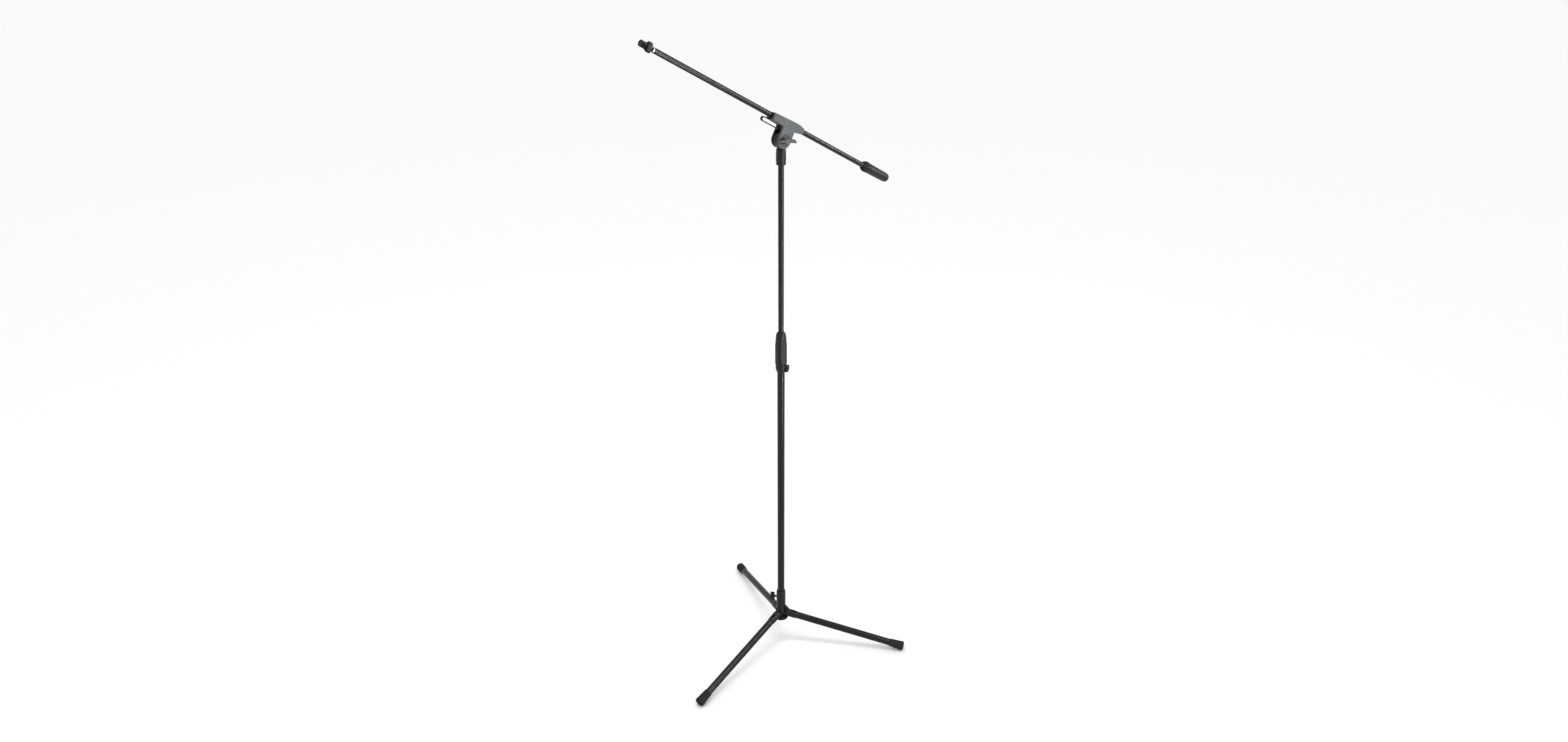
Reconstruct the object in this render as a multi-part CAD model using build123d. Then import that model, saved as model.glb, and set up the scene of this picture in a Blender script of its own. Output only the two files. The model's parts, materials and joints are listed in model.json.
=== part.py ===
from build123d import *
import os
from math import acos, atan2, cos, degrees, hypot, radians, sin, tan

# A boom microphone stand: a folding three-leg base, a two-section mast with a twist clutch,
# and a tilting, sliding boom with a counterweight.
# Millimetres. Origin on the floor under the mast, +Z up along the mast.

# ---------------------------------------------------------------- driving dimensions
running_fit = 0.06          # radial clearance of a shaft in its hole
seat_fit = 0.02             # radial clearance of a pressed or screwed seat
tube_wall = 1.2             # lower tube and leg tubes

# mast
lower_tube_radius = 11.0
lower_tube_bore = lower_tube_radius - tube_wall
lower_tube_bottom = 88.05
lower_tube_top = 1000.0
upper_tube_radius = 8.0
upper_tube_bore = 7.0
upper_tube_bottom = 860.3
upper_tube_top = 1580.0
mast_thread_radius = 4.7

# twist clutch
clutch_bottom = 963.0
clutch_shoulder = 987.0
spigot_top = 1032.0
spigot_radius = 14.0
grip_top = 1086.0
grip_radius = 17.6
grip_flutes = 10
flute_radius = 2.4
clutch_lug_azimuth = -15.0
clutch_lug_reach = 23.0     # mast axis to the clamp ears' outer end
clutch_lug_half = 8.5
clutch_screw_reach = 18.0   # mast axis to the clamp screw
clutch_screw_radius = 2.5
clutch_head_radius = 4.3
clutch_head_height = 3.3
clutch_nut_width = 4.6
clutch_nut_height = 3.6

# base
leg_azimuths = (-8.3, 111.7, 231.7)
leg_slope = 13.9
leg_tube_radius = 10.7
leg_tube_bore = leg_tube_radius - tube_wall
foot_reach = 397.0          # mast axis to the middle of a foot's end
foot_radius = 14.5
foot_length = 44.0
foot_rim = 1.6              # length of the rounding at a foot's end
foot_rounding = 0.5         # and how much smaller the foot is there
floor_bite = 0.5            # how deep the floor plane flattens a foot's edge
hub_bottom = 107.5
hub_top = 192.0
hub_radius = 14.6
rib_thickness = 6.4
pin_reach = 24.0            # mast axis to a leg's hinge pin
pin_offset = 4.0            # hinge pin above the leg's centre line
pin_radius = 3.0
eye_radius = 8.5            # round end of a hub rib, about the pin
knuckle_radius = 12.0
knuckle_reach = 52.0        # mast axis to the outer end of a knuckle's sleeve
fork_depth = 22.0           # pin to the bottom of the fork's slot
wing_azimuth = 171.7
wing_height = 165.5
set_screw_radius = 3.0
pin_half_length = 11.2
rivet_radius = 2.0
rivet_place = 16.0          # knuckle's end to the leg's rivet
spigot_length = 36.0
spreader_radius = 23.0
spreader_bottom = 84.0

# boom and its clamp, in a frame with x along the boom, y along the tilt bolt, z across both
pivot_height = 1628.4
boom_azimuth = -141.2
boom_elevation = 28.9
boom_offset = 44.0          # tilt bolt to boom axis
boom_radius = 7.1
boom_bore = 6.1
boom_front = 451.7
boom_rear = -388.0
liner_radius = 9.0
cheek_radius = 21.5
cheek_inner = 8.4
clamp_half_width = 15.5
clamp_front = 61.5
clamp_rear = -49.0
lug_radius = 20.5
lug_half_width = 7.0
tilt_bolt_radius = 4.0
bolt_head_radius = 7.5
insert_radius = 6.0
wing_span = 31.0
wing_width = 16.0
wing_thickness = 5.0
wing_pitch = 30.0           # how far each blade leans out of the bolt's direction
wing_middle = 25.6          # tilt axis origin to the middle of the blades
wing_turn = 156.0           # blades' direction about the bolt, from the boom's front
wing_hub_radius = 9.0
wing_hub_start = 15.2
wing_hub_end = 30.0
clip_strip = 2.6
clip_half_width = 4.0
clip_bend_x = 81.0
nut_pocket_depth = 4.2
recess_radius = 15.0
recess_depth = 2.0
weight_front = -308.7
weight_seam = -327.0
weight_rear = -421.5
weight_radius = 14.2
weight_core_radius = 11.5
weight_screw_radius = 2.5
weight_screw_place = 12.0   # behind the seam
lock_ring_start = 9.5       # in front of the boom tube's end
lock_ring_thickness = 12.0
stud_length = 38.0
microphone_thread_radius = 7.94

LOW = (Align.CENTER, Align.CENTER, Align.MIN)

# ---------------------------------------------------------------- derived places
foot_height = (
    (foot_radius - foot_rounding) * cos(radians(leg_slope)) - foot_rim * sin(radians(leg_slope)) - floor_bite
)
pin_height = (
    foot_height
    + (foot_reach - pin_reach) * tan(radians(leg_slope))
    + pin_offset / cos(radians(leg_slope))
)
leg_length = (foot_reach - pin_reach) / cos(radians(leg_slope)) + pin_offset * tan(radians(leg_slope))
sleeve_length = (knuckle_reach - pin_reach) / cos(radians(leg_slope))
pivot = Vector(0, 0, pivot_height)
boom_flat = Vector(cos(radians(boom_azimuth)), sin(radians(boom_azimuth)), 0)
boom_direction = boom_flat * cos(radians(boom_elevation)) + Vector(0, 0, sin(radians(boom_elevation)))
tilt_axis = Vector(cos(radians(boom_azimuth + 90)), sin(radians(boom_azimuth + 90)), 0)
clamp_frame = Plane(origin=pivot, x_dir=boom_direction, z_dir=boom_direction.cross(tilt_axis))
swivel_frame = Plane(origin=pivot, x_dir=boom_flat, z_dir=(0, 0, 1))


# ---------------------------------------------------------------- shape helpers
def turned(outline):
    """Spin an outline of (radius, height) points about Z."""
    return revolve(Plane.XZ * make_face(Polyline(*outline, close=True)), Axis.Z)


def rod(start, end, radius):
    """A round bar from one point to another."""
    span = Vector(*end) - Vector(*start)
    return Plane(origin=start, z_dir=span) * Cylinder(radius, span.length, align=LOW)


def pipe(start, end, outer, inner):
    """A round bar with a hole all the way through."""
    return rod(start, end, outer) - rod(start, end, inner)


def spun_along_x(outline):
    """Spin an outline of (x, radius) points about the X axis."""
    return revolve(make_face(Polyline(*outline, close=True)), Axis.X)


def slab(low, high):
    """A box between two corners."""
    size = [b - a for a, b in zip(low, high)]
    middle = [(a + b) / 2 for a, b in zip(low, high)]
    return Pos(*middle) * Box(*size)


def side_plate(outline, y_low, y_high):
    """A plate of (x, z) outline between two y values."""
    side = Plane(origin=(0, y_low, 0), x_dir=(1, 0, 0), z_dir=(0, -1, 0))
    face = side * make_face(Polyline(*outline, close=True))
    return extrude(face, amount=-(y_high - y_low))


def bevelled_disc(radius, thickness):
    """A round disc on z = 0 with both rims bevelled."""
    disc = Cylinder(radius, thickness, align=LOW)
    return chamfer(disc.edges().filter_by(GeomType.CIRCLE), 0.9)


def wing_blades(reach, width, thickness, pitch):
    """Two rounded blades about Z, level with z = 0, each leaning over by the pitch the same way round."""
    blade = Pos(reach / 2, 0, 0) * Box(reach, thickness, width)
    tip = blade.edges().filter_by(Axis.Y).group_by(Axis.X)[-1]
    blade = Rot(pitch, 0, 0) * fillet(tip, width * 0.42)
    return blade + Rot(0, 0, 180) * blade


# ---------------------------------------------------------------- mast
def lower_tube():
    return pipe((0, 0, lower_tube_bottom), (0, 0, lower_tube_top), lower_tube_radius, lower_tube_bore)


def spreader_cap():
    """Cup on the mast's foot that holds the toes of the open legs up; it has a spigot in the tube."""
    groove = lower_tube_radius + seat_fit
    spigot = lower_tube_bore - seat_fit
    seat = lower_tube_bottom - 0.05
    spigot_end = seat + 38
    return turned([
        (0, spreader_bottom), (spreader_radius - 6, spreader_bottom), (spreader_radius, spreader_bottom + 4),
        (spreader_radius, spreader_bottom + 8.8), (groove + 2.5, spreader_bottom + 11.4),
        (groove, spreader_bottom + 11.4), (groove, seat), (spigot, seat), (spigot, spigot_end),
        (spigot - 2.3, spigot_end), (spigot - 2.3, seat + 2), (0, seat + 2),
    ])


def clutch_body():
    """Collar clamped round the top of the lower tube, with the threaded spigot that carries the grip."""
    bore = lower_tube_radius + 0.03
    collar = turned([
        (bore, clutch_bottom), (bore + 1.2, clutch_bottom), (bore + 4.6, clutch_bottom + 11),
        (bore + 4.6, clutch_shoulder), (spigot_radius, clutch_shoulder), (spigot_radius, spigot_top),
        (bore, spigot_top),
    ])
    ears = slab(
        (bore + 1, -clutch_lug_half, clutch_bottom + 3.5),
        (clutch_lug_reach, clutch_lug_half, clutch_shoulder - 2.5),
    )
    ears = fillet(ears.edges().filter_by(Axis.Y), 4)
    slit = slab((bore - 1, -1, clutch_bottom - 1), (clutch_lug_reach + 2, 1, clutch_shoulder - 1))
    hole = across_ears(-clutch_lug_half - 1, clutch_lug_half + 1, clutch_screw_radius + seat_fit)
    return Rot(0, 0, clutch_lug_azimuth) * (collar + ears - slit - hole)


def across_ears(start, end, radius):
    """A round bar along the clamp screw's line, from one side of the ears to the other."""
    height = (clutch_bottom + clutch_shoulder) / 2 + 0.5
    return rod((clutch_screw_reach, start, height), (clutch_screw_reach, end, height), radius)


def hexagon_across_ears(start, length, radius):
    """A hexagonal bar on the clamp screw's line."""
    height = (clutch_bottom + clutch_shoulder) / 2 + 0.5
    face = Plane(origin=(clutch_screw_reach, start, height), z_dir=(0, 1, 0))
    return extrude(face * RegularPolygon(radius, 6), length)


def clutch_screw():
    """Socket-head screw that closes the clamp ears."""
    head_face = -clutch_lug_half - clutch_head_height
    head = across_ears(head_face, -clutch_lug_half, clutch_head_radius)
    socket = hexagon_across_ears(head_face, 2, 2.2)
    shank = across_ears(-clutch_lug_half, clutch_lug_half + clutch_nut_height + 0.4, clutch_screw_radius)
    return Rot(0, 0, clutch_lug_azimuth) * (head + shank - socket)


def clutch_nut():
    """Hexagon nut on the other side of the ears."""
    nut = hexagon_across_ears(clutch_lug_half, clutch_nut_height, clutch_nut_width)
    nut_end = clutch_lug_half + clutch_nut_height
    hole = across_ears(clutch_lug_half - 1, nut_end + 1, clutch_screw_radius + seat_fit)
    return Rot(0, 0, clutch_lug_azimuth) * (nut - hole)


def clutch_collet():
    """Split sleeve that the turned grip squeezes onto the upper tube."""
    bore = upper_tube_radius + running_fit
    sleeve = turned([
        (bore, lower_tube_top + 0.3), (10.9, lower_tube_top + 0.3), (10.9, spigot_top + 6),
        (13.2, spigot_top + 8), (13.2, spigot_top + 14), (9.6, spigot_top + 32), (bore, spigot_top + 32),
    ])
    for turn in (0, 90):
        sleeve -= Rot(0, 0, turn) * slab((-20, -0.8, spigot_top - 20), (20, 0.8, spigot_top + 40))
    return sleeve


def clutch_grip():
    """Twist grip with a rounded shoulder, a shallow step and long flutes."""
    thread = spigot_radius + 0.2
    skirt = clutch_shoulder + 0.6
    body = turned([
        (thread, skirt), (15.4, skirt), (grip_radius - 0.3, skirt + 3.5), (grip_radius, skirt + 14),
        (grip_radius - 0.1, 1051), (grip_radius - 0.9, 1053.5), (15.9, 1066), (14.6, 1077), (12.9, 1083),
        (10.6, grip_top), (8.5, grip_top), (8.5, grip_top - 12), (10.3, grip_top - 17),
        (14.0, spigot_top + 15), (thread, spigot_top + 4),
    ])
    flute = rod((grip_radius + 1.7, 0, skirt + 8), (grip_radius + 0.4, 0, grip_top - 10), flute_radius)
    for k in range(grip_flutes):
        body -= Rot(0, 0, 360 * k / grip_flutes) * flute
    return body


def guide_bush():
    """Plastic cup on the upper tube's end, running in the lower tube."""
    outside = lower_tube_bore - 0.08
    inside = upper_tube_radius + running_fit
    floor = upper_tube_bottom - 3.3
    return turned([
        (5, floor), (outside, floor), (outside, floor + 27), (inside, floor + 27),
        (inside, upper_tube_bottom - 0.2), (5, upper_tube_bottom - 0.2),
    ])


def upper_tube():
    return pipe((0, 0, upper_tube_bottom), (0, 0, upper_tube_top), upper_tube_radius, upper_tube_bore)


def mast_stud():
    """Plug in the top of the upper tube with the thread that the boom swivel screws onto."""
    plug = upper_tube_bore - seat_fit
    return turned([
        (0, upper_tube_top - 25), (plug, upper_tube_top - 25), (plug, upper_tube_top),
        (upper_tube_radius, upper_tube_top), (upper_tube_radius, upper_tube_top + 2),
        (mast_thread_radius, upper_tube_top + 2), (mast_thread_radius, upper_tube_top + 17),
        (0, upper_tube_top + 17),
    ])


# ---------------------------------------------------------------- boom swivel
def swivel_body():
    """Socket on the mast thread with the round lug that the clamp cheeks grip."""
    base = upper_tube_top - 17
    socket = turned([
        (upper_tube_radius + 0.05, base), (11.6, base), (12.9, base + 1.5), (13.3, base + 10),
        (13.7, base + 19), (13.3, base + 30), (13.0, base + 40), (12.0, base + 42.5), (0, base + 42.5),
        (0, upper_tube_top + 18), (mast_thread_radius + seat_fit, upper_tube_top + 18),
        (mast_thread_radius + seat_fit, upper_tube_top + 2.1),
        (upper_tube_radius + 0.05, upper_tube_top + 2.1),
    ])
    lug = swivel_frame * rod((0, -lug_half_width, 0), (0, lug_half_width, 0), lug_radius)
    neck = swivel_frame * slab((-9.5, -lug_half_width, -27), (9.5, lug_half_width, -10))
    bolt_hole = swivel_frame * rod((0, -20, 0), (0, 20, 0), tilt_bolt_radius + running_fit)
    screw_hole = rod((0, -9, base + 38), (0, -20, base + 38), 2.0)
    return socket + lug + neck - bolt_hole - screw_hole


def swivel_screw():
    """Small grub screw in the socket's wall that stops it unscrewing."""
    height = upper_tube_top - 17 + 38
    screw = rod((0, -9.5, height), (0, -13.1, height), 1.97)
    key = Plane(origin=(0, -13.1, height), z_dir=(0, 1, 0)) * extrude(RegularPolygon(1.1, 6), 1.5)
    return screw - key


def friction_discs():
    """A fibre disc on each face of the lug."""
    discs = [
        pipe((0, side * lug_half_width, 0), (0, side * (lug_half_width + 1), 0), lug_radius - 1, 6)
        for side in (-1, 1)
    ]
    return swivel_frame * Compound(children=discs)


def clamp_outline():
    """Side view of the clamp: two arms along the boom over a leg as wide as the cheek."""
    return [
        (clamp_front, boom_offset - 11.6), (clamp_front, boom_offset + 8.4), (-20, boom_offset + 11.4),
        (-34, boom_offset + 10.2), (clamp_rear, boom_offset + 6.8), (clamp_rear - 1.5, boom_offset - 8.2),
        (-cheek_radius, boom_offset - 12.8), (-cheek_radius, 0), (cheek_radius, 0),
        (cheek_radius, boom_offset - 12.8),
    ]


def clamp_half(side):
    """One half of the clamp, on the given side of the boom's middle plane."""
    outer = side * clamp_half_width
    cheek_in = side * cheek_inner
    low, high = sorted((outer, cheek_in))
    half = side_plate(clamp_outline(), low, high)
    half += rod((0, cheek_in, 0), (0, outer, 0), cheek_radius)
    rim = half.faces().filter_by(Axis.Y).sort_by(Axis.Y)[-1 if side > 0 else 0].edges()
    half = chamfer(rim, 1.1)
    inner = side * 0.5
    low, high = sorted((inner, cheek_in))
    arm = side_plate(clamp_outline(), low, high)
    half += arm & slab((clamp_rear - 5, -20, 24.5), (clamp_front + 5, 20, 60))
    behind = (clamp_rear - 5, 0, boom_offset)
    ahead = (clamp_front + 5, 0, boom_offset)
    half -= rod(behind, ahead, liner_radius + running_fit)
    half -= rod((0, 20 * side, 0), (0, 0, 0), tilt_bolt_radius + seat_fit)
    return half


def clamp_near():
    """The half that faces the wing nut, with a round recess under it."""
    recess = rod((0, clamp_half_width - recess_depth, 0), (0, clamp_half_width + 1, 0), recess_radius)
    return clamp_frame * (clamp_half(1) - recess)


def bolt_hexagon(radius, length):
    """A hexagonal bar outwards from the floor of the bolt head's pocket."""
    face = Plane(origin=(0, nut_pocket_depth - clamp_half_width, 0), z_dir=(0, -1, 0))
    return face * extrude(RegularPolygon(radius, 6), length)


def clamp_far():
    """The other half, with the pocket that holds the bolt's head."""
    return clamp_frame * (clamp_half(-1) - bolt_hexagon(bolt_head_radius + 0.1, 2 * nut_pocket_depth))


def tilt_bolt():
    shank = rod((0, nut_pocket_depth - clamp_half_width, 0), (0, 26.5, 0), tilt_bolt_radius)
    return clamp_frame * (bolt_hexagon(bolt_head_radius, nut_pocket_depth - 0.3) + shank)


def tilt_washer():
    floor = clamp_half_width - recess_depth
    return clamp_frame * pipe((0, floor, 0), (0, floor + 1.3, 0), 10, tilt_bolt_radius + seat_fit)


def tilt_insert():
    """Threaded metal insert moulded into the wing nut."""
    bore = tilt_bolt_radius + running_fit
    return clamp_frame * pipe((0, wing_hub_start, 0), (0, 25.5, 0), insert_radius, bore)


def tilt_wing():
    """Plastic wing nut that locks both the tilt and the boom's slide."""
    across = Vector(cos(radians(wing_turn)), 0, sin(radians(wing_turn)))
    axis = Plane(origin=(0, wing_middle, 0), x_dir=across, z_dir=(0, 1, 0))
    blades = axis * wing_blades(wing_span, wing_width, wing_thickness, wing_pitch)
    hub_body = rod((0, wing_hub_start, 0), (0, wing_hub_end, 0), wing_hub_radius)
    hole = rod((0, wing_hub_start - 1, 0), (0, 27.2, 0), insert_radius + seat_fit)
    return clamp_frame * (blades + hub_body - hole)


def cable_clip():
    """Hook along the underside of the boom that keeps the microphone cable in place."""
    low, high = boom_offset - 24.4, boom_offset - 11.0
    middle = (low + high) / 2
    bend = (high - low) / 2
    side = clip_half_width
    bend_x = clip_bend_x
    arm = slab((cheek_radius, -side, low), (bend_x, side, low + clip_strip))
    lip = slab((clamp_front + 3, -side, high - clip_strip), (bend_x, side, high))
    ring = rod((bend_x, -side, middle), (bend_x, side, middle), bend)
    ring -= rod((bend_x, -side - 1, middle), (bend_x, side + 1, middle), bend - clip_strip)
    ring &= slab((bend_x, -side - 1, low - 1), (bend_x + bend + 1, side + 1, high + 1))
    foot = slab((cheek_radius, -7, low - 1), (cheek_radius + 3, -0.6, boom_offset - 12.9))
    return clamp_frame * (arm + lip + ring + foot)


def boom_liner():
    """Split plastic liner between the clamp and the boom tube."""
    back = (clamp_rear + 2, 0, boom_offset)
    front = (clamp_front - 2, 0, boom_offset)
    liner = pipe(back, front, liner_radius, boom_radius + running_fit)
    slit = slab((clamp_rear - 1, -0.8, boom_offset - 12), (clamp_front + 1, 0.8, boom_offset))
    return clamp_frame * (liner - slit)


# ---------------------------------------------------------------- boom
def on_boom(shape):
    """Lift a shape made about the X axis onto the boom's axis."""
    return clamp_frame * (Pos(0, 0, boom_offset) * shape)


def boom_tube():
    return on_boom(pipe((boom_rear, 0, 0), (boom_front, 0, 0), boom_radius, boom_bore))


def boom_end_plug():
    """Plug in the boom's front end, with a bright flange and the microphone stud."""
    plug = boom_bore - seat_fit
    return on_boom(spun_along_x([
        (boom_front - 26, 0), (boom_front - 26, plug), (boom_front, plug), (boom_front, 7.9),
        (boom_front + 3.2, 7.9), (boom_front + 3.2, mast_thread_radius),
        (boom_front + stud_length, mast_thread_radius), (boom_front + stud_length, 0),
    ]))


def lock_ring():
    """Three-lobed lock nut behind the microphone thread."""
    disc = bevelled_disc(9.8, lock_ring_thickness)
    for k in range(3):
        disc += Rot(0, 0, 120 * k) * (Pos(8.2, 0, 0) * bevelled_disc(5.6, lock_ring_thickness))
    disc -= Cylinder(mast_thread_radius + running_fit, 3 * lock_ring_thickness)
    along = Plane(origin=(boom_front + lock_ring_start, 0, 0), x_dir=(0, 0.45, 0.89), z_dir=(1, 0, 0))
    return on_boom(along * disc)


def thread_adapter():
    """Bush with the outside thread that a microphone clip screws onto."""
    start = boom_front + 23
    end = boom_front + stud_length + 1
    bore = mast_thread_radius + seat_fit
    return on_boom(spun_along_x([
        (start, bore), (start, microphone_thread_radius), (end - 0.8, microphone_thread_radius),
        (end, microphone_thread_radius - 0.8), (end, bore),
    ]))


def weight_collar():
    """Rubber bell that closes the counterweight's front round the boom."""
    bore = boom_radius + seat_fit
    return on_boom(spun_along_x([
        (weight_front, bore), (weight_front, 9.0), (weight_front - 3, 11.6), (weight_front - 7, 13.6),
        (weight_front - 11, 14.8), (weight_front - 15, 15.1), (weight_seam + 1, 15.0), (weight_seam, 14.2),
        (weight_seam, bore),
    ]))


def weight_core():
    """Steel slug on the end of the boom tube, with a tapped hole for the grub screw."""
    bore = boom_radius + seat_fit
    slug = pipe((weight_rear + 14, 0, 0), (weight_seam - 0.2, 0, 0), weight_core_radius, bore)
    place = weight_seam - weight_screw_place
    hole = rod((place, 0, -6), (place, 0, -weight_core_radius - 0.5), weight_screw_radius + seat_fit)
    return on_boom(slug - hole)


def weight_cover():
    """Moulded shell over the slug, with a rounded end."""
    shell = [
        (weight_seam - 0.1, 11.55), (weight_seam - 0.1, weight_radius - 0.7),
        (weight_seam - 1, weight_radius),
        (weight_rear + 12, weight_radius - 1.0), (weight_rear + 5, weight_radius - 2.6),
        (weight_rear + 1.5, weight_radius - 5.4), (weight_rear, weight_radius - 9.0), (weight_rear, 0),
        (weight_rear + 3, 0), (weight_rear + 3, 8), (weight_rear + 9, 11.55),
    ]
    return on_boom(spun_along_x(shell))


def weight_screw():
    """Grub screw through the core that grips the boom tube."""
    place = weight_seam - weight_screw_place
    top = -boom_radius - 0.05
    return on_boom(rod((place, 0, top), (place, 0, 0.4 - weight_core_radius), weight_screw_radius))


# ---------------------------------------------------------------- base
def about_mast(shape, azimuth):
    return Rot(0, 0, azimuth) * shape


def leg_frame():
    """Origin on the hinge pin, x outwards down the leg, y along the pin, z across the leg."""
    down = radians(leg_slope)
    return Plane(
        origin=(pin_reach, 0, pin_height), x_dir=(cos(down), 0, -sin(down)), z_dir=(sin(down), 0, cos(down))
    )


def hub_rib():
    """Gusset from the hub's collar to the eye round a leg's hinge pin."""
    root = (hub_radius - 1.5, hub_bottom)
    top = (hub_radius - 1.5, hub_bottom + 28.5)
    away = (top[0] - pin_reach, top[1] - pin_height)
    tangent = atan2(away[1], away[0]) - acos(eye_radius / hypot(*away))
    touch = (pin_reach + eye_radius * cos(tangent), pin_height + eye_radius * sin(tangent))
    under = (pin_reach - eye_radius * 0.6, pin_height - eye_radius * 0.8)
    half = rib_thickness / 2
    web = side_plate([root, top, touch, (pin_reach, pin_height), under], -half, half)
    eye = rod((pin_reach, -half, pin_height), (pin_reach, half, pin_height), eye_radius)
    beyond = half + 1
    hole = rod((pin_reach, -beyond, pin_height), (pin_reach, beyond, pin_height), pin_radius + running_fit)
    return web + eye - hole


def hub():
    """Cast collar that slides on the lower tube and carries the three leg ribs."""
    bore = lower_tube_radius + 0.09
    body = turned([
        (bore, hub_bottom), (hub_radius, hub_bottom), (hub_radius, hub_top - 12),
        (hub_radius - 0.6, hub_top - 3),
        (hub_radius - 1.6, hub_top), (bore, hub_top),
    ])
    for azimuth in leg_azimuths:
        body += about_mast(hub_rib(), azimuth)
    body -= rod((0, 0, hub_bottom - 20), (0, 0, hub_top + 10), bore)
    screw_hole = rod((0, 0, wing_height), (20, 0, wing_height), set_screw_radius + running_fit)
    return body - about_mast(screw_hole, wing_azimuth)


def pressure_pad():
    """Small pad between the set screw and the mast tube."""
    pad = rod((lower_tube_radius + 0.4, 0, wing_height), (12.5, 0, wing_height), set_screw_radius - 0.1)
    return about_mast(pad, wing_azimuth)


def hub_set_screw():
    screw = rod((12.8, 0, wing_height), (28.5, 0, wing_height), set_screw_radius)
    return about_mast(screw, wing_azimuth)


def hub_wing():
    """Plastic wing on the set screw."""
    start = 19.5
    width = 16.0
    axis = Plane(origin=(start + width / 2, 0, wing_height), x_dir=(0, 0, 1), z_dir=(1, 0, 0))
    blades = axis * wing_blades(16, width, 5.5, 0)
    middle = rod((start, 0, wing_height), (start + width, 0, wing_height), 6)
    hole = rod((start - 1, 0, wing_height), (28.6, 0, wing_height), set_screw_radius + seat_fit)
    return about_mast(blades + middle - hole, wing_azimuth)


def leg_knuckle():
    """Forked sleeve on a leg's inner end: it hinges on the hub rib and its toe stands on the spreader."""
    spigot = leg_tube_bore - seat_fit
    sleeve = rod((0, 0, -pin_offset), (sleeve_length, 0, -pin_offset), knuckle_radius)
    sleeve = chamfer(sleeve.edges().filter_by(GeomType.CIRCLE).sort_by(Axis.X)[-1:], 0.8)
    spigot_end = sleeve_length + spigot_length
    sleeve += rod((sleeve_length - 1, 0, -pin_offset), (spigot_end, 0, -pin_offset), spigot)
    inward = rod((0, 0, -pin_offset), (-12, 0, -pin_offset), knuckle_radius)
    round_end = rod((0, -13, 0), (0, 13, 0), eye_radius + 0.4)
    toe = slab((-7.5, -13, -pin_offset - knuckle_radius - 1), (0, 13, 0))
    body = sleeve + (inward & (round_end + toe))
    half_slot = rib_thickness / 2 + 0.4
    body -= slab((-20, -half_slot, -20), (fork_depth, half_slot, 20))
    body -= rod((0, -15, 0), (0, 15, 0), pin_radius + seat_fit)
    return body - rivet_hole()


def rivet_hole():
    """Hole from the leg's middle down through its wall."""
    place = sleeve_length + rivet_place
    return rod((place, 0, -pin_offset), (place, 0, -30), rivet_radius + seat_fit)


def leg_pin():
    """Hinge pin, just short of the knuckle's sides."""
    return rod((0, -pin_half_length, 0), (0, pin_half_length, 0), pin_radius)


def leg_tube():
    start = (sleeve_length + 0.1, 0, -pin_offset)
    end = (leg_length - 6, 0, -pin_offset)
    tube = pipe(start, end, leg_tube_radius, leg_tube_bore)
    return tube - rivet_hole()


def leg_rivet():
    """Rivet under the leg that holds the tube on the knuckle's spigot."""
    place = sleeve_length + rivet_place
    under = -pin_offset - leg_tube_radius
    shank = rod((place, 0, -pin_offset - 5), (place, 0, under), rivet_radius)
    head = rod((place, 0, under + 0.3), (place, 0, under - 0.9), 3.4)
    return shank + (head - rod((0, 0, -pin_offset), (leg_length, 0, -pin_offset), leg_tube_radius + seat_fit))


def foot_cap():
    """Rubber boot on a leg's outer end, flared and rounded, flattened where it stands."""
    bore = leg_tube_radius + seat_fit
    start = leg_length - foot_length
    outline = [
        (start, bore), (start, 11.9), (start + 1.2, 12.5), (start + 10, 12.8), (start + 26, 13.4),
        (leg_length - 9, foot_radius - 0.2), (leg_length - 4, foot_radius),
        (leg_length - foot_rim, foot_radius - foot_rounding),
        (leg_length - 0.4, foot_radius - 1.8), (leg_length + 1.2, 7), (leg_length + 1.5, 0),
        (leg_length - 5.8, 0), (leg_length - 5.8, bore),
    ]
    return Pos(0, 0, -pin_offset) * spun_along_x(outline)


def on_leg(shape, azimuth):
    return about_mast(leg_frame() * shape, azimuth)


def standing_foot(azimuth):
    """A foot cap in place, cut off level with the floor."""
    below_floor = slab((0, -60, -60), (foot_reach + 60, 60, 0))
    return about_mast(leg_frame() * foot_cap() - below_floor, azimuth)


# ---------------------------------------------------------------- write the pieces
def whole_stand():
    pieces = {
        "lower_tube": lower_tube(),
        "spreader_cap": spreader_cap(),
        "clutch_body": clutch_body(),
        "clutch_collet": clutch_collet(),
        "clutch_screw": clutch_screw(),
        "clutch_nut": clutch_nut(),
        "clutch_grip": clutch_grip(),
        "guide_bush": guide_bush(),
        "upper_tube": upper_tube(),
        "mast_stud": mast_stud(),
        "swivel_body": swivel_body(),
        "swivel_screw": swivel_screw(),
        "friction_discs": friction_discs(),
        "clamp_near": clamp_near(),
        "clamp_far": clamp_far(),
        "tilt_bolt": tilt_bolt(),
        "tilt_washer": tilt_washer(),
        "tilt_insert": tilt_insert(),
        "tilt_wing": tilt_wing(),
        "cable_clip": cable_clip(),
        "boom_liner": boom_liner(),
        "boom_tube": boom_tube(),
        "boom_end_plug": boom_end_plug(),
        "lock_ring": lock_ring(),
        "thread_adapter": thread_adapter(),
        "weight_collar": weight_collar(),
        "weight_core": weight_core(),
        "weight_cover": weight_cover(),
        "weight_screw": weight_screw(),
        "hub": hub(),
        "pressure_pad": pressure_pad(),
        "hub_set_screw": hub_set_screw(),
        "hub_wing": hub_wing(),
    }
    for number, azimuth in enumerate(leg_azimuths, start=1):
        pieces[f"leg_knuckle_{number}"] = on_leg(leg_knuckle(), azimuth)
        pieces[f"leg_pin_{number}"] = on_leg(leg_pin(), azimuth)
        pieces[f"leg_tube_{number}"] = on_leg(leg_tube(), azimuth)
        pieces[f"leg_rivet_{number}"] = on_leg(leg_rivet(), azimuth)
        pieces[f"foot_cap_{number}"] = standing_foot(azimuth)
    return pieces


os.makedirs("parts", exist_ok=True)
for name, piece in whole_stand().items():
    export_step(piece, f"parts/{name}.step")
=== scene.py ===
import json
from math import copysign, cos, pi, radians, sin, sqrt

import bmesh
import bpy
from mathutils import Matrix, Vector


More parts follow.
